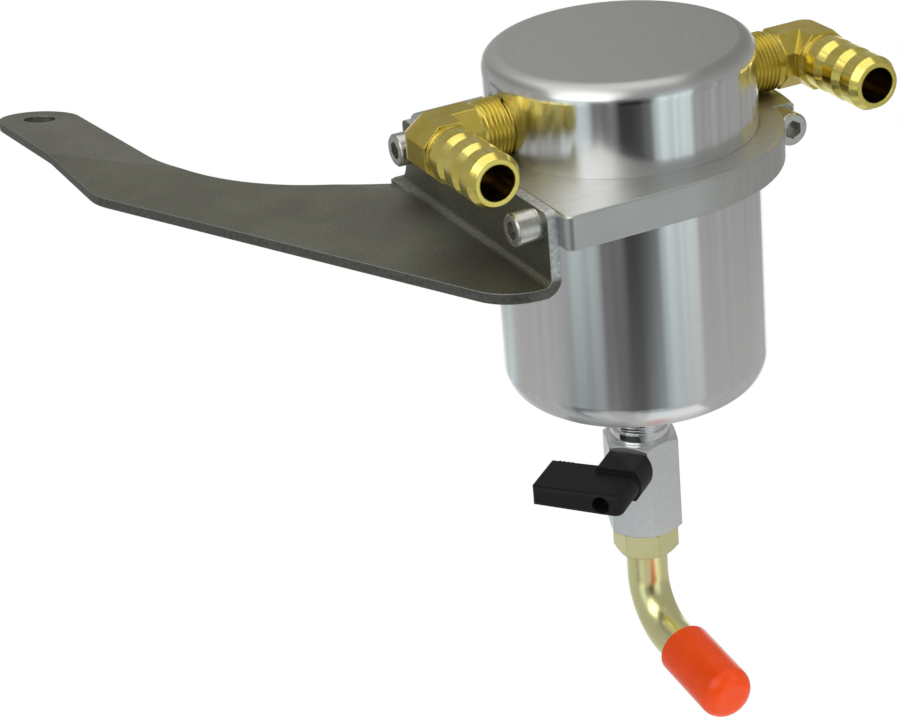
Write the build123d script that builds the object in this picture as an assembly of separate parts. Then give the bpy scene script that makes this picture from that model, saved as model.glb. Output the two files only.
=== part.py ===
from build123d import *
from math import atan2, cos, degrees, radians, sin, sqrt, tan
import os

# Oil catch can: a two piece aluminium can in a split clamp on a folded steel bracket, with two
# brass hose elbows, a baffle and a mesh pack inside, and a drain valve with a capped spout.
# Millimetres. While modelling, the can's axis is Z and z = 0 is the flat underside of the bowl.
# The finished pieces are moved so that the middle of the bracket's mounting hole is the origin.

# Can
can_radius = 38.1
can_top_round = 5.0
can_bottom_round = 8.6
bowl_wall = 3.2
bowl_floor = 6.0
bowl_inner_round = 5.0
boss_radius = 11.4
boss_height = 8.4
boss_round = 1.5
drain_hole_radius = 6.0
drain_thread_depth = 9.0
head_top_wall = 6.8
spigot_wall = 3.8
spigot_length = 9.0
spigot_clearance = 0.1
port_gap = 0.55
inlet_lift = 0.8
port_roof = 1.15
port_chamfer = 0.8

# Seal between head and bowl
seal_section_radius = 1.3
seal_drop = 3.0
seal_clearance = 0.02
seal_groove_side = 0.3

# Baffle, mesh pack, screen and ring inside the head
baffle_thickness = 1.5
baffle_slot_depth = 1.4
baffle_clearance = 0.1
mesh_thickness = 9.0
screen_thickness = 1.0
screen_hole_radius = 1.8
screen_hole_pitch = 7.0
screen_hole_rings = 3
ring_thickness = 1.2
ring_groove_depth = 1.2
ring_width = 4.0
ring_rise = 1.8
ring_gap = 8.0
inner_clearance = 0.1

# Clamp plate
clamp_bottom = 68.1
clamp_thickness = 10.0
clamp_clearance = 0.05
clamp_face_wall = 5.55
clamp_rim = 9.7
clamp_end_shift = 3.3
clamp_corner_round = 2.5
clamp_edge_break = 0.5
lug_wall = 3.2
lug_half_width = 13.8
slit_width = 3.0
spot_face_depth = 0.6
spot_face_radius = 5.3
pinch_wall = 1.4

# Quarter inch socket screws and their lock washers
screw_radius = 3.175
screw_head_radius = 4.7625
screw_head_height = 6.35
screw_head_break = 0.5
screw_socket_flats = 4.76
screw_socket_depth = 3.2
screw_hole_radius = 3.4
screw_thread_clearance = 0.05
bracket_screw_length = 19.0
pinch_screw_length = 25.4
bracket_screw_inset = 12.0
washer_inner_radius = 3.3
washer_outer_radius = 4.7
washer_thickness = 1.0
washer_gap = 0.8

# Folded bracket
sheet = 3.05
flange_front_inset = 5.2
flange_rear_inset = 2.2
flange_corner_round = 2.0
flange_foot_round = 7.4
flange_foot_lift = 0.3
fold_inner_radius = 2.0
arm_drop = 20.6
arm_front_round = 16.6
arm_front_run = 10.6
arm_edge_angle = 115.5
arm_neck_round = 20.0
arm_hollow_radius = 72.0
tab_offset = 68.75
tab_half_width = 13.1
tab_hole_y = 190.0
tab_hole_radius = 5.25
tab_fold_y = 138.0
tab_fall_heading = 38.1
tab_fold_angle = 10.0
tab_fold_round = 4.0

# Brass elbows
pipe_radius = 8.1
pipe_clearance = 0.05
pipe_thread_length = 16.0
inlet_standoff = 19.0
outlet_standoff = 22.3
elbow_bore_radius = 5.1
elbow_half_width = 8.2
elbow_thread_leg = 11.0
elbow_barb_leg = 10.0
barb_length = 36.4
barb_radius = 7.75
barb_root_radius = 6.1
barb_collar = 0.9
barb_groove_radius = 7.2
barb_land = 4.6
barb_step = 0.3
barb_pitch = 8.8
barb_count = 3
barb_tip_chamfer = 1.3
barb_tip_length = 2.4

# Drain valve
valve_flats = 20.5
valve_stem_heading = 220.0
valve_top = -17.9
valve_length = 30.2
valve_end_chamfer = 1.6
chamfer_angle = 30.0
valve_collar_radius = 8.75
valve_collar_height = 3.2
valve_thread_length = 15.0
valve_passage_radius = 3.4
valve_bore_radius = 6.9
valve_fit = 0.05
ball_radius = 6.0
ball_drop = 6.7
ball_slot_width = 2.4
ball_slot_depth = 2.2
seat_inner_height = 3.2
seat_outer_height = 6.3
retainer_length = 5.0
stem_radius = 2.5
stem_in_lever = 12.0
stem_flat = 1.7
stem_seal_section = 0.5
stem_seal_reach = 8.9
running_clearance = 0.05

# Lever
lever_gap = 0.3
lever_depth = 23.2
lever_arm_start = 6.5
lever_hub_radius = 7.5
lever_hub_depth = 10.0
lever_hub_height = 9.8
lever_fin_height = 6.9
lever_tip_height = 6.2
lever_heel = 7.2
lever_reach = 21.2
lever_edge_round = 1.4
lever_recess_radius = 2.6
lever_recess_depth = 9.2
lever_rib_count = 4
lever_rib_pitch = 1.3
lever_rib_radius = 0.45
lever_rib_inset = 2.4
lever_screw_radius = 1.25
lever_screw_head_radius = 2.3
lever_screw_head_height = 2.0
lever_screw_slot = 0.7
lever_screw_length = 9.0

# Spout and its cap
spout_flats = 17.0
spout_hex_heading = 234.0
spout_hex_height = 8.3
spout_hex_chamfer = 1.2
spout_thread_length = 10.0
spout_radius = 6.15
spout_bore_radius = 4.4
spout_drop = 9.2
spout_bend_radius = 15.7
spout_bend_angle = 84.0
spout_heading = -91.0
spout_bare = 6.8
spout_in_cap = 21.0
spout_end_chamfer = 0.6
cap_length = 27.6
cap_radius = 8.17
cap_end_round = 4.6
cap_rim_round = 0.5
cap_floor = 3.0
cap_clearance = 0.08

# Places worked out from the sizes above
seam_z = clamp_bottom + clamp_thickness / 2
clamp_top = clamp_bottom + clamp_thickness
clamp_mid = clamp_bottom + clamp_thickness / 2
clamp_half_width = can_radius + clamp_rim
clamp_face_x = -can_radius - clamp_face_wall
clamp_end_x = -clamp_end_shift
pinch_axis_x = can_radius + clamp_clearance + pinch_wall + screw_hole_radius
lug_radius = pinch_axis_x + screw_hole_radius + lug_wall
spot_face_y = spot_face_depth - lug_half_width
bracket_screw_y = clamp_half_width - bracket_screw_inset
port_radius = pipe_radius + pipe_clearance
outlet_height = clamp_top + port_gap + pipe_radius
inlet_height = outlet_height + inlet_lift
bowl_inner_radius = can_radius - bowl_wall
spigot_radius = bowl_inner_radius - spigot_clearance
head_cavity_radius = spigot_radius - spigot_wall
cavity_top = inlet_height + port_radius + port_roof
can_height = cavity_top + head_top_wall
inlet_reach = can_radius + inlet_standoff
outlet_reach = can_radius + outlet_standoff
spigot_bottom = seam_z - spigot_length
ring_z = spigot_bottom + ring_rise
screen_z = ring_z + ring_thickness
mesh_z = screen_z + screen_thickness
mesh_top = mesh_z + mesh_thickness
flange_face_x = clamp_face_x - sheet
flange_front_y = flange_front_inset - clamp_half_width
flange_rear_y = clamp_half_width - flange_rear_inset
tab_axis_x = clamp_face_x - tab_offset
arm_top = clamp_top - arm_drop
fold_outer_radius = fold_inner_radius + sheet
arm_root_x = clamp_face_x - fold_outer_radius
arm_root_y = flange_rear_y + flange_foot_round
arm_front_corner_x = arm_root_x - arm_front_run
ball_z = valve_top - ball_drop
valve_bottom = valve_top - valve_length
lever_start = valve_flats / 2 + lever_gap
lever_end = lever_start + lever_depth
hex_low = valve_bottom - spout_hex_height
BASE = (Align.CENTER, Align.CENTER, Align.MIN)
SIDE = (Align.MIN, Align.CENTER, Align.MIN)
HALF_FLAT = 30
QUARTER = 90
HALF_EIGHTH = 22.5


def upright(radius, low, high):
    """A round bar on the can's axis."""
    return Pos(0, 0, low) * Cylinder(radius, high - low, align=BASE)


def bar(origin, direction, radius, length):
    """A round bar from origin along direction."""
    return Plane(origin=origin, z_dir=direction) * Cylinder(radius, length, align=BASE)


def ring(outer, inner, low, high):
    """A flat ring on the can's axis."""
    return upright(outer, low, high) - upright(inner, low, high)


def hexagon(flats, low, high, heading):
    """A hexagonal bar on the can's axis with a flat that faces the given way."""
    outline = Rot(0, 0, heading) * RegularPolygon(flats / 2, 6, major_radius=False, rotation=HALF_FLAT)
    return extrude(Pos(0, 0, low) * outline, high - low)


def end_cone(flats, low, high, cut, top, bottom):
    """The turned bar that breaks a hexagon's corners with a flat cone at the chosen ends."""
    corner = flats / sqrt(3)
    slope = cut * tan(radians(chamfer_angle))
    points = [(0, low)]
    points += [(corner - cut, low), (corner, low + slope)] if bottom else [(corner, low)]
    points += [(corner, high - slope), (corner - cut, high)] if top else [(corner, high)]
    points += [(0, high)]
    return turned(points)


def turned(points, axis=Axis.Z):
    """A solid of revolution from a half section in the XZ plane."""
    section = Plane.XZ * make_face(Polyline(*points, close=True))
    return revolve(section, axis)


def flat_angle(angle):
    """The horizontal unit direction at an angle from +X."""
    return Vector(cos(radians(angle)), sin(radians(angle)), 0)


def outer_edges(part, radius, z):
    """The round edges of one radius at one height."""
    circles = part.edges().filter_by(GeomType.CIRCLE)
    return circles.filter_by(lambda e: abs(e.radius - radius) < 0.01 and abs(e.center().Z - z) < 0.01)


def head():
    """Turned cap with a spigot for the seal, a cavity, baffle slots and two tapped ports."""
    shell = upright(can_radius, seam_z, can_height)
    shell = fillet(outer_edges(shell, can_radius, can_height), can_top_round)
    shell += upright(spigot_radius, spigot_bottom, seam_z)
    seal_z = seam_z - seal_drop
    groove_half = seal_section_radius + seal_groove_side
    groove_floor = bowl_inner_radius - 2 * seal_section_radius - spigot_clearance
    shell -= ring(can_radius, groove_floor, seal_z - groove_half, seal_z + groove_half)
    shell -= upright(head_cavity_radius, spigot_bottom, cavity_top)
    groove_radius = head_cavity_radius + ring_groove_depth
    shell -= upright(groove_radius, ring_z - inner_clearance, ring_z + ring_thickness + inner_clearance)
    slot_width = baffle_thickness + 2 * baffle_clearance
    slot_length = 2 * (head_cavity_radius + baffle_slot_depth)
    slot_low = mesh_top - baffle_clearance
    slot = Box(slot_width, slot_length, cavity_top - slot_low, align=BASE)
    shell -= Pos(0, 0, slot_low) * slot
    mouth = Cone(port_radius, port_radius + 2 * port_chamfer, 2 * port_chamfer, align=BASE)
    mouth_x = sqrt(can_radius ** 2 - port_radius ** 2) - port_chamfer
    for side, height in ((-1, inlet_height), (1, outlet_height)):
        shell -= bar((0, 0, height), (side, 0, 0), port_radius, 2 * can_radius)
        shell -= Plane(origin=(side * mouth_x, 0, height), z_dir=(side, 0, 0)) * mouth
    return shell


def bowl():
    """Turned cup with a rounded foot and a tapped drain boss."""
    cup = upright(can_radius, 0, seam_z)
    cup = fillet(outer_edges(cup, can_radius, 0), can_bottom_round)
    boss = upright(boss_radius, -boss_height, bowl_floor / 2)
    boss = chamfer(outer_edges(boss, boss_radius, -boss_height), boss_round)
    cup += boss
    hollow = upright(bowl_inner_radius, bowl_floor, seam_z)
    cup -= fillet(outer_edges(hollow, bowl_inner_radius, bowl_floor), bowl_inner_round)
    cup -= upright(drain_hole_radius, -boss_height, bowl_floor)
    cup -= upright(port_radius, -boss_height, drain_thread_depth - boss_height)
    return cup


def body_seal():
    """O-ring in the spigot's groove, just clear of the bowl's wall."""
    turn = bowl_inner_radius - seal_section_radius - seal_clearance
    return Pos(0, 0, seam_z - seal_drop) * Torus(turn, seal_section_radius)


def baffle():
    """Upright plate that parts the inlet side of the head from the outlet side."""
    width = 2 * (head_cavity_radius + baffle_slot_depth - baffle_clearance)
    height = cavity_top - baffle_clearance - mesh_top
    return Pos(0, 0, mesh_top) * Box(baffle_thickness, width, height, align=BASE)


def mesh_pack():
    """Pressed pad of knitted wire, as one disc."""
    return upright(head_cavity_radius - inner_clearance, mesh_z, mesh_top)


def mesh_screen():
    """Perforated disc under the mesh, with rings of holes."""
    disc = upright(head_cavity_radius - inner_clearance, screen_z, mesh_z)
    hole = upright(screen_hole_radius, screen_z, mesh_z)
    holes = [hole]
    for row in range(1, screen_hole_rings + 1):
        holes += PolarLocations(row * screen_hole_pitch, 6 * row) * hole
    return disc - holes


def screen_ring():
    """Open retaining ring in the groove of the spigot's bore."""
    outer = head_cavity_radius + ring_groove_depth - inner_clearance
    inner = outer - ring_width
    opening = Box(outer, ring_gap, ring_thickness, align=SIDE)
    return ring(outer, inner, ring_z, screen_z) - Pos(0, 0, ring_z) * opening


def clamp():
    """Split plate round the can with a pinch lug, a spot face and two tapped holes."""
    block = Box(clamp_end_x - clamp_face_x, 2 * clamp_half_width, clamp_thickness, align=SIDE)
    body = Pos(clamp_face_x, 0, clamp_bottom) * block
    body += Pos(clamp_end_x, 0, 0) * upright(clamp_half_width, clamp_bottom, clamp_top)
    body = split(body, Plane(origin=(clamp_face_x, 0, 0), z_dir=(1, 0, 0)), keep=Keep.TOP)
    corners = body.edges().filter_by(Axis.Z).filter_by(lambda e: abs(e.center().X - clamp_face_x) < 0.01)
    body = fillet(corners, clamp_corner_round)
    lug_bar = upright(lug_radius, clamp_bottom, clamp_top)
    lug_box = Box(lug_radius, 2 * lug_half_width, clamp_thickness, align=SIDE)
    body += lug_bar & (Pos(0, 0, clamp_bottom) * lug_box)
    body = chamfer(body.faces().sort_by(Axis.Z)[-1].outer_wire().edges(), clamp_edge_break)
    body = chamfer(body.faces().sort_by(Axis.Z)[0].outer_wire().edges(), clamp_edge_break)
    body -= upright(can_radius + clamp_clearance, clamp_bottom, clamp_top)
    slit = Box(lug_radius, slit_width, clamp_thickness, align=SIDE)
    body -= Pos(can_radius / 2, 0, clamp_bottom) * slit
    seat = (pinch_axis_x, spot_face_y, clamp_mid)
    body -= bar(seat, (0, -1, 0), spot_face_radius, can_radius)
    body -= bar(seat, (0, 1, 0), screw_hole_radius, -spot_face_y)
    thread_hole = screw_radius + screw_thread_clearance
    body -= bar((pinch_axis_x, 0, clamp_mid), (0, 1, 0), thread_hole, lug_radius)
    for side in (-1, 1):
        mouth = (clamp_face_x, side * bracket_screw_y, clamp_mid)
        body -= bar(mouth, (1, 0, 0), thread_hole, bracket_screw_length)
    return body


def angle_of(x, y):
    """Angle of a point seen from the can's axis, in degrees."""
    return degrees(atan2(y, x))


def socket_screw(seat, direction, length):
    """Socket head screw: seat is under the head, direction points out of the head."""
    place = Plane(origin=seat, z_dir=direction)
    cap = Cylinder(screw_head_radius, screw_head_height, align=BASE)
    cap = chamfer(cap.edges().group_by(Axis.Z)[-1], screw_head_break)
    socket = RegularPolygon(screw_socket_flats / sqrt(3), 6)
    cap -= Pos(0, 0, screw_head_height - screw_socket_depth) * extrude(socket, screw_socket_depth)
    shank = Pos(0, 0, -length) * Cylinder(screw_radius, length, align=BASE)
    return place * (cap + shank)


def lock_washer(seat, direction):
    """Split ring that stands on seat, under a screw head."""
    washer = Cylinder(washer_outer_radius, washer_thickness, align=BASE)
    washer -= Cylinder(washer_inner_radius, washer_thickness, align=BASE)
    opening = Box(washer_outer_radius, washer_gap, washer_thickness, align=SIDE)
    return Plane(origin=seat, z_dir=direction) * (washer - opening)


def bracket_screw(side):
    """Screw through the flange into the clamp, at the front or the rear."""
    seat = (flange_face_x - washer_thickness, side * bracket_screw_y, clamp_mid)
    return socket_screw(seat, (-1, 0, 0), bracket_screw_length)


def bracket_washer(side):
    """Lock washer on the flange, at the front or the rear."""
    return lock_washer((flange_face_x, side * bracket_screw_y, clamp_mid), (-1, 0, 0))


def clamp_screw():
    """Pinch screw across the slit."""
    seat_place = (pinch_axis_x, spot_face_y - washer_thickness, clamp_mid)
    return socket_screw(seat_place, (0, -1, 0), pinch_screw_length)


def clamp_washer():
    """Lock washer in the spot face."""
    return lock_washer((pinch_axis_x, spot_face_y, clamp_mid), (0, -1, 0))


def arm_outline():
    """Outline of the arm and its tab, laid flat in the arm's plane."""
    left = tab_axis_x - tab_half_width
    right = tab_axis_x + tab_half_width
    hollow_x = right + arm_hollow_radius
    hollow_y = arm_root_y + sqrt(arm_hollow_radius ** 2 - (arm_root_x - hollow_x) ** 2)
    last = angle_of(arm_root_x - hollow_x, arm_root_y - hollow_y) % 360
    hollow_mid = Vector(hollow_x, hollow_y) + flat_angle((180 + last) / 2) * arm_hollow_radius
    way = flat_angle(arm_edge_angle)
    neck_y = flange_front_y + (left - arm_front_corner_x) * way.Y / way.X
    corner = Vector(arm_front_corner_x, flange_front_y)
    neck = Vector(left, neck_y)
    front = Polyline((arm_root_x, flange_front_y), corner, neck, (left, tab_hole_y))
    tip = ThreePointArc((left, tab_hole_y), (tab_axis_x, tab_hole_y + tab_half_width), (right, tab_hole_y))
    edge = Line((right, tab_hole_y), (right, hollow_y))
    hollow = ThreePointArc((right, hollow_y), hollow_mid, (arm_root_x, arm_root_y))
    root = Line((arm_root_x, arm_root_y), (arm_root_x, flange_front_y))
    outline = make_face(front + tip + edge + hollow + root)
    outline = fillet(outline.vertices().sort_by_distance(corner)[0], arm_front_round)
    return fillet(outline.vertices().sort_by_distance(neck)[0], arm_neck_round)


def tab_normal():
    """The tab's upward normal."""
    level = flat_angle(tab_fall_heading) * sin(radians(tab_fold_angle))
    return level + Vector(0, 0, cos(radians(tab_fold_angle)))


def hole_centre():
    """Centre of the mounting hole on the tab's upper face."""
    across = flat_angle(tab_fall_heading)
    run = (Vector(tab_axis_x, tab_hole_y) - Vector(tab_axis_x - tab_half_width, tab_fold_y)).dot(across)
    return Vector(tab_axis_x, tab_hole_y, arm_top - run * tan(radians(tab_fold_angle)))


def folded_sheet():
    """Long sheet with the tab's fold in it, before its outline is cut."""
    across = flat_angle(tab_fall_heading)
    reach = tab_hole_y
    lean = tan(radians(tab_fold_angle))
    under = sheet / cos(radians(tab_fold_angle))
    crease = -sheet * tan(radians(tab_fold_angle / 2))
    section = Polyline(
        (-reach, 0), (0, 0), (reach, -reach * lean), (reach, -reach * lean - under), (crease, -sheet),
        (-reach, -sheet), close=True,
    )
    place = Plane(origin=(tab_axis_x - tab_half_width, tab_fold_y, arm_top), x_dir=across,
                  z_dir=across.cross(Vector(0, 0, 1)))
    sheet_part = place * extrude(make_face(section), reach, both=True)
    folds = sheet_part.edges().filter_by(lambda e: abs(e.tangent_at(0.5).dot(place.z_dir)) > 0.999)
    folds = folds.sort_by_distance(place.origin)
    upper = fillet(folds[0], tab_fold_round + sheet)
    lower = upper.edges().filter_by(lambda e: abs(e.tangent_at(0.5).dot(place.z_dir)) > 0.999)
    return fillet(lower.sort_by_distance(place.origin - Vector(0, 0, sheet))[0], tab_fold_round)


def bracket():
    """One folded sheet: flange on the clamp, arm and bent end tab."""
    normal = tab_normal()
    cutter = extrude(arm_outline(), 2 * arm_top)
    plate = folded_sheet() & cutter
    plate -= bar(hole_centre() - normal * 2 * sheet, normal, tab_hole_radius, 4 * sheet)
    width = arm_root_y - flange_front_y
    flange = Box(sheet, width, arm_drop - fold_inner_radius, align=(Align.MIN, Align.MIN, Align.MAX))
    flange = Pos(flange_face_x, flange_front_y, clamp_top) * flange
    bend_plane = Plane(origin=(arm_root_x, flange_front_y, arm_top + fold_inner_radius), z_dir=(0, 1, 0))
    bend = Cylinder(fold_outer_radius, width, align=BASE) - Cylinder(fold_inner_radius, width, align=BASE)
    quarter = Box(fold_outer_radius, width, fold_outer_radius, align=(Align.MIN, Align.MIN, Align.MAX))
    bend = (bend_plane * bend) & (Pos(arm_root_x, flange_front_y, arm_top + fold_inner_radius) * quarter)
    wall = bend + flange
    foot_z = arm_top + flange_foot_round + flange_foot_lift
    wall -= bar((arm_root_x, arm_root_y, foot_z), (1, 0, 0), flange_foot_round, fold_outer_radius)
    rear = Box(fold_outer_radius, flange_foot_round, arm_drop, align=(Align.MIN, Align.MIN, Align.MIN))
    wall -= Pos(arm_root_x, flange_rear_y, foot_z) * rear
    wall = fillet(wall.edges().filter_by(Axis.X).group_by(Axis.Z)[-1], flange_corner_round)
    sheet_part = plate + wall
    for side in (-1, 1):
        centre = (flange_face_x, side * bracket_screw_y, clamp_mid)
        sheet_part -= bar(centre, (1, 0, 0), screw_hole_radius, sheet)
    return sheet_part


def barb_section():
    """Half section of the hose barb along its own axis, from the elbow's corner to the tip."""
    land_start = barb_length - barb_tip_length - barb_land - (barb_count - 1) * barb_pitch
    collar_end = elbow_barb_leg + barb_collar
    points = [(0, 0), (barb_radius, 0), (barb_radius, collar_end), (barb_groove_radius, collar_end)]
    points += [(barb_groove_radius, land_start), (barb_radius, land_start)]
    points += [(barb_radius, land_start + barb_land)]
    for row in range(1, barb_count):
        start = land_start + row * barb_pitch
        points += [(barb_root_radius, start - barb_step), (barb_radius, start)]
        points += [(barb_radius, start + barb_land)]
    points.append((barb_radius - barb_tip_chamfer, barb_length))
    points.append((0, barb_length))
    return points


def elbow():
    """Forged elbow with its rounded corner at the origin, its thread along +X and its barb along -Y."""
    octagon = RegularPolygon(elbow_half_width, 8, major_radius=False, rotation=HALF_EIGHTH)
    facet = elbow_half_width * tan(radians(HALF_EIGHTH))
    knuckle = [(0, -elbow_half_width), (facet, -elbow_half_width), (elbow_half_width, -facet)]
    knuckle += [(elbow_half_width, facet), (facet, elbow_half_width), (0, elbow_half_width)]
    body = turned(knuckle)
    body += extrude(Plane(origin=(0, 0, 0), z_dir=(1, 0, 0)) * octagon, elbow_thread_leg)
    body += extrude(Plane(origin=(0, 0, 0), z_dir=(0, -1, 0)) * octagon, elbow_barb_leg)
    body += bar((elbow_thread_leg, 0, 0), (1, 0, 0), pipe_radius, pipe_thread_length)
    barb = Plane(origin=(0, 0, 0), x_dir=(0, 0, 1), z_dir=(0, -1, 0)) * turned(barb_section())
    body += barb
    body -= bar((0, 0, 0), (1, 0, 0), elbow_bore_radius, elbow_thread_leg + pipe_thread_length)
    body -= bar((0, 0, 0), (0, -1, 0), elbow_bore_radius, barb_length)
    return body - Sphere(elbow_bore_radius)


def inlet_elbow():
    """Elbow on the bracket's side."""
    return Pos(-inlet_reach, 0, inlet_height) * elbow()


def outlet_elbow():
    """Elbow on the split's side, the same fitting turned about its barb."""
    return Pos(outlet_reach, 0, outlet_height) * (Rot(0, 180, 0) * elbow())


def valve_body():
    """Hexagonal body with a male pipe thread, a stepped bore and a hole for the stem."""
    body = hexagon(valve_flats, valve_bottom, valve_top, valve_stem_heading)
    body &= end_cone(valve_flats, valve_bottom, valve_top, valve_end_chamfer, True, True)
    collar_top = valve_top + valve_collar_height
    body += upright(valve_collar_radius, valve_top, collar_top)
    body += upright(pipe_radius, collar_top, collar_top + valve_thread_length)
    body -= upright(valve_passage_radius, ball_z, collar_top + valve_thread_length)
    body -= upright(valve_bore_radius, valve_bottom, ball_z + seat_outer_height)
    hole = stem_radius + running_clearance
    body -= bar((0, 0, ball_z), flat_angle(valve_stem_heading), hole, valve_flats)
    return body


def valve_ball():
    """Ball with its passage across the pipe while the valve is shut, and a slot for the stem."""
    way = flat_angle(valve_stem_heading)
    across = flat_angle(valve_stem_heading - QUARTER)
    ball = Pos(0, 0, ball_z) * Sphere(ball_radius)
    centre = Vector(0, 0, ball_z)
    ball -= bar(centre - across * ball_radius, across, valve_passage_radius, 2 * ball_radius)
    slot = Box(2 * ball_radius, ball_slot_width, 2 * ball_slot_depth)
    return ball - Plane(origin=centre + way * ball_radius, x_dir=across, z_dir=way) * slot


def seat(side):
    """Plastic seat ring with a round pocket for the ball, above or below it."""
    low = ball_z + min(side * seat_inner_height, side * seat_outer_height)
    high = ball_z + max(side * seat_inner_height, side * seat_outer_height)
    body = ring(valve_bore_radius - valve_fit, valve_passage_radius, low, high)
    return body - Pos(0, 0, ball_z) * Sphere(ball_radius + running_clearance)


def valve_retainer():
    """Threaded ring that closes the ball chamber from below."""
    top = ball_z - seat_outer_height
    return ring(valve_bore_radius - valve_fit, valve_passage_radius, top - retainer_length, top)


def valve_stem():
    """Stem with a tongue in the ball's slot, a seal groove and flats in the lever."""
    way = flat_angle(valve_stem_heading)
    centre = Vector(0, 0, ball_z)
    tongue_start = ball_radius - ball_slot_depth + running_clearance
    reach = lever_start + stem_in_lever
    stem = bar(centre + way * ball_radius, way, stem_radius, reach - ball_radius)
    thin = ball_slot_width - 2 * running_clearance
    tongue = Box(2 * stem_radius, thin, ball_radius - tongue_start, align=BASE)
    round_end = Cylinder(stem_radius, ball_radius - tongue_start, align=BASE)
    stem += lever_place(tongue_start) * (tongue & round_end)
    groove = 2 * stem_seal_section + 2 * running_clearance
    floor = stem_radius - 2 * stem_seal_section
    cut = Cylinder(2 * stem_radius, groove) - Cylinder(floor, groove)
    stem -= Plane(origin=centre + way * stem_seal_reach, z_dir=way) * cut
    flat = Plane(origin=centre + way * lever_start, z_dir=way)
    for side in (-1, 1):
        chip = Box(2 * stem_radius, stem_radius, stem_in_lever, align=(Align.CENTER, Align.MIN, Align.MIN))
        stem -= flat * (Rot(0, 0, QUARTER * (1 - side)) * (Pos(0, stem_flat, 0) * chip))
    screw_hole = lever_screw_radius + valve_fit
    return stem - bar(centre + way * reach, way * -1, screw_hole, lever_screw_length)


def stem_seal():
    """O-ring in the stem's groove."""
    way = flat_angle(valve_stem_heading)
    turn = stem_radius - stem_seal_section
    centre = Vector(0, 0, ball_z) + way * stem_seal_reach
    return Plane(origin=centre, z_dir=way) * Torus(turn, stem_seal_section)


def lever_place(reach):
    """Plane across the stem's axis at a reach from the valve's axis, with x along the lever."""
    way = flat_angle(valve_stem_heading)
    across = flat_angle(valve_stem_heading - QUARTER)
    return Plane(origin=Vector(0, 0, ball_z) + way * reach, x_dir=across, z_dir=way)


def valve_lever():
    """Moulded lever: a flattened round hub on the stem and a deep tapered fin."""
    hub = Circle(lever_hub_radius) & Rectangle(2 * lever_hub_radius, lever_hub_height)
    half = lever_fin_height / 2
    tip = lever_tip_height / 2
    heel_x = half - lever_heel
    heel = ThreePointArc((heel_x, half), (-lever_heel, 0), (heel_x, -half))
    sides = Polyline(
        (heel_x, -half), (0, -half), (lever_reach, -tip), (lever_reach, tip), (0, half), (heel_x, half),
    )
    fin = extrude(Pos(0, 0, lever_arm_start) * make_face(heel + sides), lever_depth - lever_arm_start)
    fin = fillet(fin.edges().group_by(Axis.Z)[-1], lever_edge_round)
    body = extrude(hub, lever_hub_depth) + fin
    for row in range(lever_rib_count):
        along = lever_reach - lever_rib_inset - row * lever_rib_pitch
        rib = Cylinder(lever_rib_radius, lever_tip_height, rotation=(QUARTER, 0, 0))
        body += Pos(along, 0, lever_arm_start) * rib
    recess = Cylinder(lever_recess_radius, lever_recess_depth, align=BASE)
    body -= Pos(0, 0, lever_depth - lever_recess_depth) * recess
    body -= Cylinder(lever_screw_radius + valve_fit, lever_depth, align=BASE)
    key = Circle(stem_radius + valve_fit) & Rectangle(4 * stem_radius, 2 * (stem_flat + valve_fit))
    return lever_place(lever_start) * (body - extrude(key, stem_in_lever + valve_fit))


def lever_screw():
    """Slotted screw in the lever's recess, into the end of the stem."""
    seat_reach = lever_end - lever_recess_depth
    head_part = Cylinder(lever_screw_head_radius, lever_screw_head_height, align=BASE)
    slot = Box(2 * lever_screw_head_radius, lever_screw_slot, lever_screw_head_height)
    head_part -= Pos(0, 0, lever_screw_head_height) * slot
    shank = Cylinder(lever_screw_radius, lever_screw_length, align=(Align.CENTER, Align.CENTER, Align.MAX))
    return lever_place(seat_reach) * (head_part + shank)


def spout_line():
    """Corner and end of the bend in the spout's centre line, and its heading after that."""
    out = flat_angle(spout_heading)
    heading = out * sin(radians(spout_bend_angle)) + Vector(0, 0, -cos(radians(spout_bend_angle)))
    bend_start = Vector(0, 0, hex_low - spout_drop)
    corner = bend_start - Vector(0, 0, spout_bend_radius * tan(radians(spout_bend_angle / 2)))
    bend_end = corner + heading * (spout_bend_radius * tan(radians(spout_bend_angle / 2)))
    return corner, bend_end, heading


def spout_path(top):
    """Centre line of the spout's tube from a height down to its end."""
    corner, bend_end, heading = spout_line()
    end = bend_end + heading * (spout_bare + spout_in_cap)
    return FilletPolyline(Vector(0, 0, top), corner, end, radius=spout_bend_radius)


def drain_spout():
    """Hose tail: threaded shank, hexagon and bent tube as one piece."""
    body = hexagon(spout_flats, hex_low, valve_bottom, spout_hex_heading)
    body &= end_cone(spout_flats, hex_low, valve_bottom, spout_hex_chamfer, True, True)
    body += upright(valve_bore_radius - valve_fit, valve_bottom, valve_bottom + spout_thread_length)
    outer = spout_path(hex_low)
    inner = spout_path(valve_bottom + spout_thread_length)
    body += sweep(Plane(origin=outer @ 0, z_dir=outer % 0) * Circle(spout_radius), outer)
    body -= sweep(Plane(origin=inner @ 0, z_dir=inner % 0) * Circle(spout_bore_radius), inner)
    end = outer @ 1
    rims = body.edges().filter_by(GeomType.CIRCLE)
    rim = rims.filter_by(lambda e: abs(e.radius - spout_radius) < 0.01 and (e.arc_center - end).length < 0.01)
    return chamfer(rim, spout_end_chamfer)


def drain_cap():
    """Moulded vinyl cap pushed on the spout's end."""
    bend_end, heading = spout_line()[1:]
    shell = Cylinder(cap_radius, cap_length, align=BASE)
    shell = fillet(shell.edges().group_by(Axis.Z)[-1], cap_end_round)
    shell -= Cylinder(spout_radius + cap_clearance, cap_length - cap_floor, align=BASE)
    rims = shell.edges().filter_by(GeomType.CIRCLE).group_by(Axis.Z)[0]
    shell = fillet(rims.sort_by(SortBy.RADIUS)[-1], cap_rim_round)
    return Plane(origin=bend_end + heading * spout_bare, z_dir=heading) * shell


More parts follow.
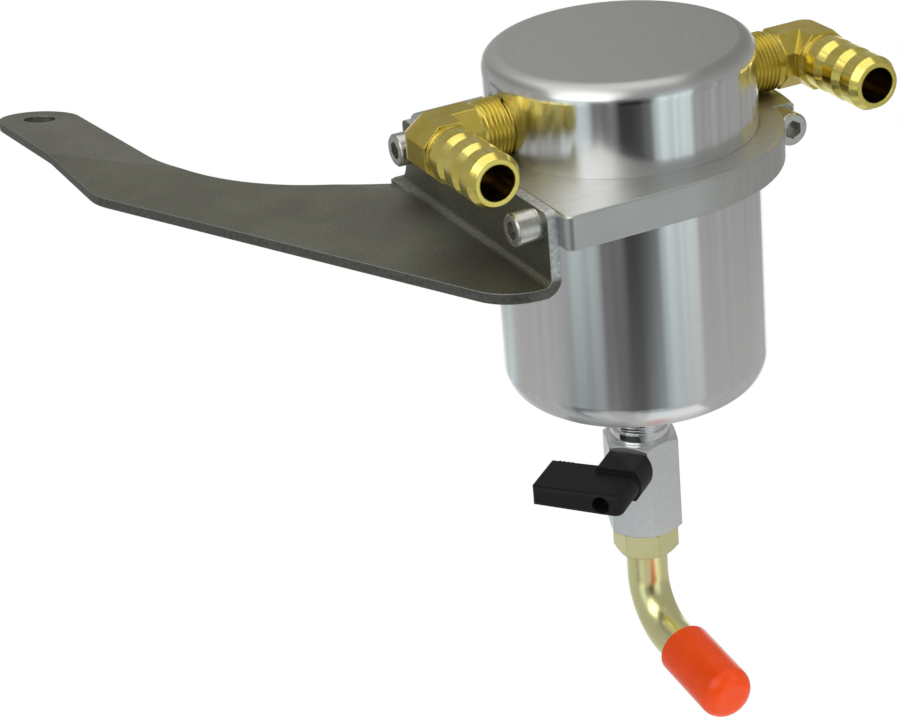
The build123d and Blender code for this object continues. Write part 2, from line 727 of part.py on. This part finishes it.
pieces = {
    "head": head(),
    "bowl": bowl(),
    "body_seal": body_seal(),
    "baffle": baffle(),
    "mesh_pack": mesh_pack(),
    "mesh_screen": mesh_screen(),
    "screen_ring": screen_ring(),
    "clamp": clamp(),
    "clamp_screw": clamp_screw(),
    "clamp_washer": clamp_washer(),
    "bracket": bracket(),
    "bracket_screw_front": bracket_screw(-1),
    "bracket_screw_rear": bracket_screw(1),
    "bracket_washer_front": bracket_washer(-1),
    "bracket_washer_rear": bracket_washer(1),
    "inlet_elbow": inlet_elbow(),
    "outlet_elbow": outlet_elbow(),
    "valve_body": valve_body(),
    "valve_ball": valve_ball(),
    "seat_upper": seat(1),
    "seat_lower": seat(-1),
    "valve_retainer": valve_retainer(),
    "valve_stem": valve_stem(),
    "stem_seal": stem_seal(),
    "valve_lever": valve_lever(),
    "lever_screw": lever_screw(),
    "drain_spout": drain_spout(),
    "drain_cap": drain_cap(),
}

os.makedirs("parts", exist_ok=True)
to_hole = Pos(*((hole_centre() - tab_normal() * (sheet / 2)) * -1))
for name, piece in pieces.items():
    export_step(to_hole * piece, f"parts/{name}.step")
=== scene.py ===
from math import atan2, cos, pi, sin

import bmesh
import bpy
from mathutils import Matrix, Vector

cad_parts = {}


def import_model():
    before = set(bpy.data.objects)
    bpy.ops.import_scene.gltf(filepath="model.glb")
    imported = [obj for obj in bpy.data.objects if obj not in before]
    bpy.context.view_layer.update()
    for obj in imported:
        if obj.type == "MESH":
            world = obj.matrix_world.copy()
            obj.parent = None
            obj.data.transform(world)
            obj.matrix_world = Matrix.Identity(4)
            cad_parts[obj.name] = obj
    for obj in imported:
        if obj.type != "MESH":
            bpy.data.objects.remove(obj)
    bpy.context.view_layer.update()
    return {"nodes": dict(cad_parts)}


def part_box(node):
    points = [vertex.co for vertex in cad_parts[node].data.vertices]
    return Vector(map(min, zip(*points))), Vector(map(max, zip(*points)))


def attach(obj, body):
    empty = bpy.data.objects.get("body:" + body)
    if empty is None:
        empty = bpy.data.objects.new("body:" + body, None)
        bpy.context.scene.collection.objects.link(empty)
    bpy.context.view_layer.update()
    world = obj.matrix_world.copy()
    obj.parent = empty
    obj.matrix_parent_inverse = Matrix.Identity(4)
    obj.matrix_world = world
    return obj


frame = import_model()
nodes = frame["nodes"]
scene = bpy.context.scene

# Height of the can's top above its foot, in metres
CAN_HEIGHT = 0.10365

# The can's foot on its own axis, worked out from the round head
head_low, head_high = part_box("head")
FOOT = (head_low + head_high) / 2
FOOT.z = head_high.z - CAN_HEIGHT


def at(x, y, z):
    """A point given in millimetres from the can's foot."""
    return FOOT + Vector((x, y, z)) / 1000


# Node helpers

# Sockets of a Mix node for each kind of data: its two inputs and its output
MIX_SOCKETS = {"FLOAT": (2, 3, 0), "VECTOR": (4, 5, 1), "RGBA": (6, 7, 2)}

NOISE_ROUGHNESS = 0.55
BEVEL_SAMPLES = 6

# Painted edges, a painted highlight on the bracket and painted shade on the zinc plate: how far they reach
# in metres, the cosines of the rounded normal where they are full and where they end, and how much of them
# shows
EDGE_RADIUS = 0.0005
EDGE_COSINES = (0.90, 0.99)
EDGE_SHARE = 0.7

# Half the width of the change from one finish to the next, in metres
FINISH_CHANGE = 0.0002


class Nodes:
    """A node tree under construction, with short ways to add nodes."""

    def __init__(self, tree):
        self.tree = tree

    def node(self, kind, **values):
        """A new node with its properties set."""
        made = self.tree.nodes.new(kind)
        for key, value in values.items():
            setattr(made, key, value)
        return made

    def link(self, source, target):
        """Joins an output to an input."""
        self.tree.links.new(source, target)

    def feed(self, socket, value):
        """Gives an input a number, a colour, a vector or another node's output."""
        if isinstance(value, (int, float)):
            socket.default_value = value
        elif isinstance(value, tuple):
            socket.default_value = value if socket.type == "VECTOR" else (*value, 1)
        else:
            self.link(value, socket)

    def split(self, vector):
        """The x, y and z of a vector."""
        made = self.node("ShaderNodeSeparateXYZ")
        self.link(vector, made.inputs[0])
        return made.outputs

    def math(self, operation, *values):
        """A sum or a function of numbers or sockets."""
        made = self.node("ShaderNodeMath", operation=operation)
        for socket, value in zip(made.inputs, values):
            self.feed(socket, value)
        return made.outputs[0]

    def rest(self, value):
        """What a value leaves of 1."""
        return self.math("SUBTRACT", 1.0, value)

    def spread(self, value, low, high, start=0.0, end=1.0):
        """A value from start to end moved to low to high."""
        made = self.node("ShaderNodeMapRange")
        made.inputs["From Min"].default_value = start
        made.inputs["From Max"].default_value = end
        made.inputs["To Min"].default_value = low
        made.inputs["To Max"].default_value = high
        self.link(value, made.inputs["Value"])
        return made.outputs["Result"]

    def step(self, value, low, high):
        """0 below low, 1 above high."""
        made = self.node("ShaderNodeMapRange", interpolation_type="SMOOTHSTEP")
        made.inputs["From Min"].default_value = low
        made.inputs["From Max"].default_value = high
        self.link(value, made.inputs["Value"])
        return made.outputs["Result"]

    def past(self, value, place, half=FINISH_CHANGE):
        """0 before a place and 1 past it."""
        return self.step(value, place - half, place + half)

    def mix(self, factor, first, second, kind="FLOAT"):
        """Between two numbers, vectors or colours."""
        made = self.node("ShaderNodeMix", data_type=kind)
        first_input, second_input, result = MIX_SOCKETS[kind]
        self.link(factor, made.inputs["Factor"])
        self.feed(made.inputs[first_input], first)
        self.feed(made.inputs[second_input], second)
        return made.outputs[result]

    def blend(self, factor, first, second):
        """Between two colours."""
        return self.mix(factor, first, second, "RGBA")

    def ramp(self, value, *stops):
        """A colour for each value, between stops of a position and a colour."""
        made = self.node("ShaderNodeValToRGB")
        elements = made.color_ramp.elements
        while len(elements) < len(stops):
            elements.new(0.5)
        for element, (position, color) in zip(elements, stops):
            element.position = position
            element.color = (*color, 1)
        self.link(value, made.inputs["Fac"])
        return made.outputs["Color"]

    def tint(self, value, dark, light):
        """Between two colours over the middle of a noise's range."""
        return self.ramp(value, (0.3, dark), (0.7, light))

    def lines(self, value, scale, detail=2.0):
        """One dimensional noise along a value."""
        made = self.node("ShaderNodeTexNoise", noise_dimensions="1D")
        made.inputs["Scale"].default_value = scale
        made.inputs["Detail"].default_value = detail
        self.link(value, made.inputs["W"])
        return made.outputs["Fac"]


class Shader(Nodes):
    """A material under construction."""

    def __init__(self, name, **values):
        self.material = bpy.data.materials.new(name)
        self.material.use_nodes = True
        super().__init__(self.material.node_tree)
        self.bsdf = self.tree.nodes["Principled BSDF"]
        for key, value in values.items():
            self.feed(self.bsdf.inputs[key.replace("_", " ")], value)

    def place(self, scale=(1, 1, 1), location=(0, 0, 0)):
        """Object coordinates, moved and stretched."""
        coordinate = self.node("ShaderNodeTexCoord")
        mapping = self.node("ShaderNodeMapping")
        mapping.inputs["Location"].default_value = location
        mapping.inputs["Scale"].default_value = scale
        self.link(coordinate.outputs["Object"], mapping.inputs["Vector"])
        return mapping.outputs["Vector"]

    def from_foot(self):
        """The x, y and z of a CAD node's surface, in metres from the can's foot."""
        return self.split(self.place(location=tuple(-FOOT)))

    def facing(self):
        """The x, y and z of the way that the surface faces."""
        return self.split(self.node("ShaderNodeTexCoord").outputs["Normal"])

    def noise(self, scale, detail, stretch=(1, 1, 1)):
        """Noise in space."""
        made = self.node("ShaderNodeTexNoise")
        made.inputs["Scale"].default_value = scale
        made.inputs["Detail"].default_value = detail
        made.inputs["Roughness"].default_value = NOISE_ROUGHNESS
        self.link(self.place(stretch), made.inputs["Vector"])
        return made.outputs["Fac"]

    def rounded(self, radius):
        """The surface's normal with sharp edges rounded."""
        made = self.node("ShaderNodeBevel", samples=BEVEL_SAMPLES)
        made.inputs["Radius"].default_value = radius
        return made.outputs[0]

    def edges(self):
        """The share of painted edge light: 0 on flat faces. The bracket paints a highlight with it, the zinc
        plate painted shade.
        """
        dot = self.node("ShaderNodeVectorMath", operation="DOT_PRODUCT")
        self.link(self.rounded(EDGE_RADIUS), dot.inputs[0])
        self.link(self.node("ShaderNodeNewGeometry").outputs["Normal"], dot.inputs[1])
        flat = self.step(dot.outputs["Value"], *EDGE_COSINES)
        return self.math("MULTIPLY", self.rest(flat), EDGE_SHARE)

    def color(self, socket):
        """Sets the colour."""
        self.link(socket, self.bsdf.inputs["Base Color"])

    def rough(self, socket):
        """Sets the roughness."""
        self.link(socket, self.bsdf.inputs["Roughness"])

    def bump(self, height, strength, distance):
        """Sets fine relief."""
        made = self.node("ShaderNodeBump")
        made.inputs["Strength"].default_value = strength
        made.inputs["Distance"].default_value = distance
        self.link(height, made.inputs["Height"])
        self.link(made.outputs["Normal"], self.bsdf.inputs["Normal"])

    def soften(self, radius):
        """Rounds sharp edges a little, for the light on them, under any bump."""
        bumps = [n for n in self.tree.nodes if n.bl_idname == "ShaderNodeBump"]
        target = bumps[0] if bumps else self.bsdf
        self.link(self.rounded(radius), target.inputs["Normal"])


def give(material, *names):
    """Puts a material on CAD nodes."""
    for name in names:
        mesh = nodes[name].data
        mesh.materials.clear()
        mesh.materials.append(material)


# Materials

# Where finishes change, in metres from the can's foot. The bracket's sheet is upright above one height, and
# bent to the right of a line. Its edges are ground bright above another height, over a wider change.
FLANGE_FOOT = 0.0595
FOLD_START = -0.0488
GROUND_FOOT = 0.0592
GROUND_CHANGE = 0.0010

# The elbows are turned in front of this line and forged behind it
BARB_ROOT = -0.0101

# The valve is polished above this height
NECK_FOOT = -0.01785
NECK_CHANGE = 0.00015

# How much brighter a turned face is than a forged one, for red, green and blue
TURNED_GAIN = (1.21, 1.27, 1.65)


def turned_aluminium():
    """Billet turned on a lathe: fine rings, drawn out highlights on its wall, satin above and below, and
    painted shade that darkens its top and shoulder.
    """
    s = Shader("turned_aluminium", Metallic=1.0, Anisotropic=0.8, Anisotropic_Rotation=0.25)
    x, y, z = s.from_foot()
    radius = s.math("SQRT", s.math("ADD", s.math("MULTIPLY", x, x), s.math("MULTIPLY", y, y)))
    travel = s.math("ADD", radius, z)
    ring = s.lines(travel, 2600)
    faint = s.lines(travel, 500)
    rise = s.facing()[2]
    top = s.step(rise, 0.30, 0.90)
    shoulder = s.step(rise, 0.10, 0.55)
    under = s.step(s.math("MULTIPLY", rise, -1.0), 0.25, 0.65)
    wall = s.tint(ring, (0.77, 0.775, 0.78), (0.81, 0.81, 0.81))
    # The top and shoulder take a darker colour: painted shade that dims their highlights.
    s.color(s.blend(top, wall, s.tint(faint, (0.55, 0.555, 0.535), (0.58, 0.58, 0.56))))
    wall_rough = s.mix(under, s.spread(ring, 0.14, 0.19), s.spread(ring, 0.38, 0.44))
    s.rough(s.mix(shoulder, wall_rough, s.spread(ring, 0.33, 0.37)))
    s.bump(ring, 0.02, 0.00003)
    round_way = s.node("ShaderNodeTangent", direction_type="RADIAL", axis="Z").outputs[0]
    s.link(s.mix(top, round_way, (1, 0, 0), "VECTOR"), s.bsdf.inputs["Tangent"])
    return s.material


def machined_aluminium():
    """Plate milled on its faces, a little warmer than the can."""
    s = Shader("machined_aluminium", Metallic=1.0)
    grain = s.noise(1.0, 4, (60, 900, 60))
    broad = s.noise(60, 2)
    s.color(s.tint(grain, (0.56, 0.57, 0.55), (0.64, 0.65, 0.63)))
    s.rough(s.spread(broad, 0.38, 0.46))
    s.bump(grain, 0.06, 0.00004)
    s.soften(0.0004)
    return s.material


def bare_steel():
    """Speckled olive sheet with dark sheared edges, bright ground ones on the flange, and a painted
    highlight on its corners.
    """
    s = Shader("bare_steel", Metallic=1.0)
    broad = s.noise(45, 4)
    fine = s.noise(900, 3)
    x, _, z = s.from_foot()
    across, along, rise = (s.math("ABSOLUTE", part) for part in s.facing())
    bend = s.mix(s.past(x, FOLD_START), rise, s.rest(along))
    face = s.mix(s.past(z, FLANGE_FOOT), bend, across)
    cut = s.rest(s.step(face, 0.45, 0.75))
    speckle = s.step(s.noise(2000, 2), 0.38, 0.62)
    mottled = s.mix(speckle, s.math("SUBTRACT", broad, 0.25), s.math("ADD", broad, 0.25))
    skin = s.ramp(mottled, (0.2, (0.178, 0.177, 0.141)), (0.8, (0.280, 0.278, 0.225)))
    sheared = s.tint(fine, (0.13, 0.13, 0.115), (0.21, 0.21, 0.19))
    ground = s.tint(fine, (0.46, 0.47, 0.47), (0.80, 0.81, 0.81))
    edge = s.blend(s.past(z, GROUND_FOOT, GROUND_CHANGE), sheared, ground)
    # The lighter colour on the edges is a painted highlight.
    s.color(s.blend(s.edges(), s.blend(cut, skin, edge), (0.50, 0.50, 0.46)))
    s.rough(s.spread(fine, 0.44, 0.58))
    s.bump(fine, 0.10, 0.00005)
    s.soften(0.0004)
    return s.material


def screw_steel():
    """Machined alloy steel of the socket screws."""
    s = Shader("screw_steel", Metallic=1.0)
    grain = s.noise(700, 3)
    s.color(s.tint(grain, (0.54, 0.53, 0.49), (0.66, 0.65, 0.61)))
    s.rough(s.spread(grain, 0.22, 0.34))
    s.soften(0.0003)
    return s.material


def brass_finish(name, dark, light):
    """Bright brass: the faint grain of a forging on the body, fine turning lines on the barb."""
    s = Shader(name, Metallic=1.0)
    broad = s.noise(110, 3)
    fine = s.noise(1300, 3)
    _, y, _ = s.from_foot()
    forged = s.past(y, BARB_ROOT)
    turning = s.lines(y, 3200, 3)
    bright = [tuple(gain * part for gain, part in zip(TURNED_GAIN, shade)) for shade in (dark, light)]
    s.color(s.blend(forged, s.tint(broad, *bright), s.tint(broad, dark, light)))
    s.rough(s.mix(forged, s.spread(turning, 0.12, 0.24), s.spread(fine, 0.24, 0.34)))
    s.bump(s.mix(forged, turning, fine), 0.07, 0.00004)
    s.soften(0.0005)
    return s.material


def satin_chrome():
    """Plated valve body: satin on the hexagon, polished on the neck."""
    s = Shader("satin_chrome", Metallic=1.0)
    fine = s.noise(900, 3)
    _, _, z = s.from_foot()
    neck = s.past(z, NECK_FOOT, NECK_CHANGE)
    s.color(s.tint(fine, (0.80, 0.81, 0.82), (0.87, 0.88, 0.89)))
    s.rough(s.mix(neck, s.spread(fine, 0.36, 0.44), s.spread(fine, 0.08, 0.13)))
    s.soften(0.0005)
    return s.material


def yellow_zinc():
    """Yellow passivated zinc plate with a faint change of tint, and painted shade on its edges."""
    s = Shader("yellow_zinc", Metallic=1.0)
    broad = s.noise(110, 3)
    shades = (0.3, (0.95, 0.89, 0.43)), (0.55, (0.99, 0.96, 0.54)), (0.75, (0.97, 0.92, 0.49))
    # The darker colour on the edges is painted shade.
    s.color(s.blend(s.edges(), s.ramp(broad, *shades), (0.40, 0.35, 0.13)))
    s.rough(s.spread(broad, 0.24, 0.36))
    s.soften(0.0004)
    return s.material


def black_plastic():
    """Moulded glass filled plastic of the lever."""
    s = Shader("black_plastic", Specular_IOR_Level=0.25)
    fine = s.noise(1500, 3)
    s.color(s.tint(fine, (0.007, 0.007, 0.007), (0.013, 0.013, 0.012)))
    s.rough(s.spread(fine, 0.48, 0.60))
    s.bump(fine, 0.15, 0.00006)
    s.soften(0.0005)
    return s.material


def red_vinyl():
    """Dip moulded vinyl, glossy and a little uneven."""
    s = Shader("red_vinyl", IOR=1.45, Specular_IOR_Level=0.35)
    broad = s.noise(160, 2)
    s.color(s.tint(broad, (0.95, 0.074, 0.006), (1.0, 0.094, 0.009)))
    s.rough(s.spread(broad, 0.16, 0.28))
    s.bump(broad, 0.12, 0.0002)
    return s.material


def seat_plastic():
    """White seat rings."""
    s = Shader("seat_plastic")
    fine = s.noise(800, 2)
    s.color(s.tint(fine, (0.80, 0.80, 0.78), (0.86, 0.86, 0.84)))
    s.rough(s.spread(fine, 0.40, 0.50))
    return s.material


def seal_rubber():
    """Black seal rings."""
    s = Shader("seal_rubber")
    fine = s.noise(900, 2)
    s.color(s.tint(fine, (0.012, 0.012, 0.012), (0.022, 0.022, 0.022)))
    s.rough(s.spread(fine, 0.55, 0.70))
    return s.material


def steel_mesh():
    """Drawn wire of the mesh pack."""
    s = Shader("steel_mesh", Metallic=1.0)
    knit = s.noise(1400, 4)
    s.color(s.tint(knit, (0.30, 0.30, 0.29), (0.62, 0.62, 0.60)))
    s.rough(s.spread(knit, 0.30, 0.45))
    s.bump(knit, 0.6, 0.0004)
    return s.material


brass = brass_finish("forged_brass", (0.68, 0.53, 0.085), (0.82, 0.66, 0.15))
inner_brass = brass_finish("inner_brass", (0.60, 0.42, 0.13), (0.70, 0.50, 0.17))
chrome = satin_chrome()
give(turned_aluminium(), "head", "bowl")
give(machined_aluminium(), "clamp", "baffle")
give(bare_steel(), "bracket")
give(screw_steel(), "clamp_screw", "clamp_washer", "bracket_screw_front", "bracket_screw_rear",
     "bracket_washer_front", "bracket_washer_rear", "lever_screw")
give(brass, "inlet_elbow", "outlet_elbow")
give(inner_brass, "valve_stem", "valve_retainer")
give(chrome, "valve_body", "valve_ball")
give(yellow_zinc(), "drain_spout")
give(black_plastic(), "valve_lever")
give(red_vinyl(), "drain_cap")
give(seat_plastic(), "seat_upper", "seat_lower")
give(seal_rubber(), "body_seal", "stem_seal")
give(steel_mesh(), "mesh_pack", "mesh_screen", "screen_ring")


# Threads, as ridges on the plain pipes, in metres

PIPE_RADIUS = 0.0081
THREAD_PITCH = 0.001411
THREAD_HEIGHT = 0.0006

# How deep the ridge's foot lies in the pipe, and the parts of a turn
THREAD_SUNK = 0.0002
THREAD_STEPS = 40

# Half the ridge's foot as a share of the pitch, and half its crest as a share of that
FOOT_SHARE = 0.42
CREST_SHARE = 0.15

# The elbows' ridges go from this far out of the pipe's inner end to this far from the can's axis
ELBOW_THREAD_REACH = 0.0155
ELBOW_THREAD_END = 0.0362

# The valve's ridge goes from one height to the other, in millimetres from the can's foot
VALVE_THREAD_HEIGHTS = (-14.5, -8.0)


def thread(name, start, end, material):
    """One ridge wound from start to end, which grows over its first turn and fades over its last."""
    line = end - start
    turn = line.to_track_quat("Z", "Y").to_matrix()
    count = int(line.length / THREAD_PITCH * THREAD_STEPS)
    half = FOOT_SHARE * THREAD_PITCH
    crest_half = CREST_SHARE * half
    foot = PIPE_RADIUS - THREAD_SUNK
    shape = bmesh.new()
    rings = []
    for i in range(count + 1):
        angle = 2 * pi * i / THREAD_STEPS
        along = half + (line.length - 2 * half) * i / count
        crest = PIPE_RADIUS + THREAD_HEIGHT * min(1, i / THREAD_STEPS, (count - i) / THREAD_STEPS)
        out = Vector((cos(angle), sin(angle), 0))
        profile = ((foot, -half), (crest, -crest_half), (crest, crest_half), (foot, half))
        rings.append([shape.verts.new(turn @ (out * r + Vector((0, 0, along + z)))) for r, z in profile])
    for first, second in zip(rings, rings[1:]):
        for k in range(len(first)):
            shape.faces.new((first[k - 1], first[k], second[k], second[k - 1]))
    shape.faces.new(rings[0][::-1])
    shape.faces.new(rings[-1])
    bmesh.ops.recalc_face_normals(shape, faces=shape.faces)
    mesh = bpy.data.meshes.new(name)
    shape.to_mesh(mesh)
    shape.free()
    mesh.materials.append(material)
    made = bpy.data.objects.new(name, mesh)
    scene.collection.objects.link(made)
    made.location = start
    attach(made, "can")


def elbow_thread(name, elbow, side):
    """The ridge on an elbow's pipe, which enters the can from the left (-1) or the right (1)."""
    low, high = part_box(elbow)
    pipe_end = high.x if side < 0 else low.x
    height = (low.z + high.z) / 2
    start = Vector((pipe_end + side * ELBOW_THREAD_REACH, FOOT.y, height))
    end = Vector((FOOT.x + side * ELBOW_THREAD_END, FOOT.y, height))
    thread(name, start, end, brass)


elbow_thread("inlet_thread", "inlet_elbow", -1)
elbow_thread("outlet_thread", "outlet_elbow", 1)
valve_start, valve_end = (at(0, 0, height) for height in VALVE_THREAD_HEIGHTS)
thread("valve_thread", valve_start, valve_end, chrome)


# Stage, light and camera

# The photograph's viewpoint, fitted to the object's outline: the camera's place in millimetres from the
# can's foot, its lens and sensor in millimetres, its near limit in metres, and the image's right and top
CAMERA = (-333.125, -614.622, 347.355)
CAMERA_LENS = 106.797
CAMERA_SENSOR = 36
CAMERA_NEAR = 0.01
CAMERA_RIGHT = Vector((0.89321, -0.44205, -0.08228))
CAMERA_UP = Vector((0.25954, 0.35743, 0.89715))
CAMERA_HEADING = atan2(CAMERA[1], CAMERA[0])

# The middle of the can, which the lamps face
MIDDLE = at(0, 0, 50)

# The floor's distance below the can's foot in millimetres, and its half width in metres
FLOOR_DROP = 420
FLOOR_REACH = 8

# Tints of the studio's soft boxes
BLUE = (0.88, 0.99, 1.0)
PLAIN = (1.0, 1.0, 0.98)

# Two rings of soft boxes round the studio. Each box goes from one angle to another, in degrees to the right
# of the camera, and has a brightness and a tint. From the camera, the bowl mirrors the lower ring and the
# head the upper one.
LOWER_RING = [
    (-179, -128, 0.72, BLUE),
    (-122, -62, 0.48, PLAIN),
    (-56, -48, 0.34, BLUE),
    (-43, -27, 0.12, BLUE),
    (-22, -13, 0.17, PLAIN),
    (-10, 11, 0.06, PLAIN),
    (15, 26, 0.18, PLAIN),
    (30, 52, 0.43, BLUE),
    (56, 179, 0.47, PLAIN),
]
UPPER_RING = [
    (-179, -62, 0.40, PLAIN),
    (-58, -36, 0.82, BLUE),
    (-31, -12, 0.20, PLAIN),
    (-9, 8, 0.015, PLAIN),
    (11, 17, 0.09, PLAIN),
    (20, 50, 0.84, BLUE),
    (54, 179, 0.35, PLAIN),
]
CEILING = (0.34, 0.34, 0.33)

# Heights of the studio, from -1 straight down to 1 straight up: where the lower ring goes over into the
# upper one, and where that goes over into the ceiling
RING_SEAM = (-0.43, -0.39)
CEILING_SEAM = (0.0, 0.45)

# Lean of the boxes: the part of a turn that they are moved at two heights
LEAN = (0.045, -0.02)
LEAN_HEIGHTS = (-0.50, -0.40)

# Fine streaks in the boxes: their number in a turn, and the light that the noise's range gives
STREAK_SCALE = 60
STREAK_DETAIL = 3
STREAK_LIGHT = (0.72, 1.28)
STREAK_RANGE = (0.25, 0.75)

# The white backdrop in mirrors: the part of a turn from the camera where it starts, its middle height, and
# its reach above and below that
BACKDROP_TURN = 0.44
BACKDROP_HEIGHT = -0.3
BACKDROP_REACH = 0.3


def floor():
    """Pale floor, white where the camera sees it."""
    mesh = bpy.data.meshes.new("floor")
    shape = bmesh.new()
    bmesh.ops.create_grid(shape, x_segments=1, y_segments=1, size=FLOOR_REACH)
    shape.to_mesh(mesh)
    shape.free()
    made = bpy.data.objects.new("floor", mesh)
    scene.collection.objects.link(made)
    made.location = at(0, 0, -FLOOR_DROP)
    s = Shader("floor", Base_Color=(0.9, 0.9, 0.9), Roughness=0.8)
    mix = s.node("ShaderNodeMixShader")
    s.link(s.node("ShaderNodeLightPath").outputs["Is Camera Ray"], mix.inputs["Fac"])
    s.link(s.bsdf.outputs[0], mix.inputs[1])
    s.link(s.node("ShaderNodeEmission").outputs[0], mix.inputs[2])
    s.link(mix.outputs[0], s.tree.nodes["Material Output"].inputs["Surface"])
    mesh.materials.append(s.material)
    made.visible_glossy = False


def area(name, place, target, size, power, mirrored=True):
    """Soft rectangular lamp that faces a target, seen in bright metal or not."""
    lamp = bpy.data.lights.new(name, "AREA")
    lamp.shape = "RECTANGLE"
    lamp.size, lamp.size_y = size
    lamp.energy = power
    made = bpy.data.objects.new(name, lamp)
    scene.collection.objects.link(made)
    made.location = place
    made.rotation_euler = (target - place).to_track_quat("-Z", "Y").to_euler()
    made.visible_camera = False
    made.visible_glossy = mirrored


def ring_stops(boxes):
    """The stops of a colour ramp over one turn, two for each soft box."""
    stops = []
    for start, end, level, tint in boxes:
        color = tuple(level * part for part in tint)
        stops += [(angle / 360 + 0.5, color) for angle in (start, end)]
    return stops


def world():
    """Grey studio with soft boxes on both sides of a dark gap at the camera, and white behind the object."""
    made = bpy.data.worlds.new("studio")
    scene.world = made
    made.use_nodes = True
    n = Nodes(made.node_tree)

    # The angle from the camera as part of a turn, with the camera at a half
    x, y, z = n.split(n.node("ShaderNodeTexCoord").outputs["Generated"])
    angle = n.math("SUBTRACT", n.math("ARCTAN2", y, x), CAMERA_HEADING)
    turn = n.math("FRACT", n.math("ADD", n.math("DIVIDE", angle, 2 * pi), 1.5))
    leaning = n.math("ADD", turn, n.spread(z, *LEAN, *LEAN_HEIGHTS))

    # The soft boxes and the ceiling
    lower, upper = (n.ramp(leaning, *ring_stops(boxes)) for boxes in (LOWER_RING, UPPER_RING))
    walls = n.blend(n.step(z, *RING_SEAM), lower, upper)
    grey = n.tree.nodes["Background"]
    n.link(n.blend(n.step(z, *CEILING_SEAM), walls, CEILING), grey.inputs["Color"])
    streaks = n.lines(leaning, STREAK_SCALE, STREAK_DETAIL)
    n.link(n.spread(streaks, *STREAK_LIGHT, *STREAK_RANGE), grey.inputs["Strength"])

    # White for the camera, and for mirrors that face the backdrop
    white = n.node("ShaderNodeBackground")
    white.inputs["Color"].default_value = (1, 1, 1, 1)
    path = n.node("ShaderNodeLightPath").outputs
    mirrored = n.math("MAXIMUM", path["Is Glossy Ray"], path["Is Transmission Ray"])
    behind = n.math("GREATER_THAN", n.math("ABSOLUTE", n.math("SUBTRACT", turn, 0.5)), BACKDROP_TURN)
    height = n.math("ABSOLUTE", n.math("SUBTRACT", z, BACKDROP_HEIGHT))
    low = n.math("LESS_THAN", height, BACKDROP_REACH)
    backdrop = n.math("MULTIPLY", mirrored, n.math("MULTIPLY", behind, low))
    mix = n.node("ShaderNodeMixShader")
    n.link(n.math("MAXIMUM", path["Is Camera Ray"], backdrop), mix.inputs["Fac"])
    n.link(grey.outputs[0], mix.inputs[1])
    n.link(white.outputs[0], mix.inputs[2])
    n.link(mix.outputs[0], n.tree.nodes["World Output"].inputs["Surface"])


def camera():
    """The photograph's viewpoint."""
    data = bpy.data.cameras.new("camera")
    data.sensor_width = CAMERA_SENSOR
    data.lens = CAMERA_LENS
    data.clip_start = CAMERA_NEAR
    made = bpy.data.objects.new("camera", data)
    scene.collection.objects.link(made)
    axes = Matrix((CAMERA_RIGHT, CAMERA_UP, CAMERA_RIGHT.cross(CAMERA_UP)))
    made.matrix_world = Matrix.Translation(at(*CAMERA)) @ axes.transposed().to_4x4()
    scene.camera = made


floor()
world()
camera()
area("key", at(-900, -500, 900), MIDDLE, size=(1.2, 1.2), power=7)
area("fill", at(700, -800, 500), MIDDLE, size=(0.6, 0.9), power=5, mirrored=False)
area("top", at(0, 200, 1200), MIDDLE, size=(1.2, 1.2), power=4)
area("table", at(-60, -115, -135), at(-60, -115, 0), size=(0.28, 0.17), power=0.062)
scene.view_settings.view_transform = "Standard"
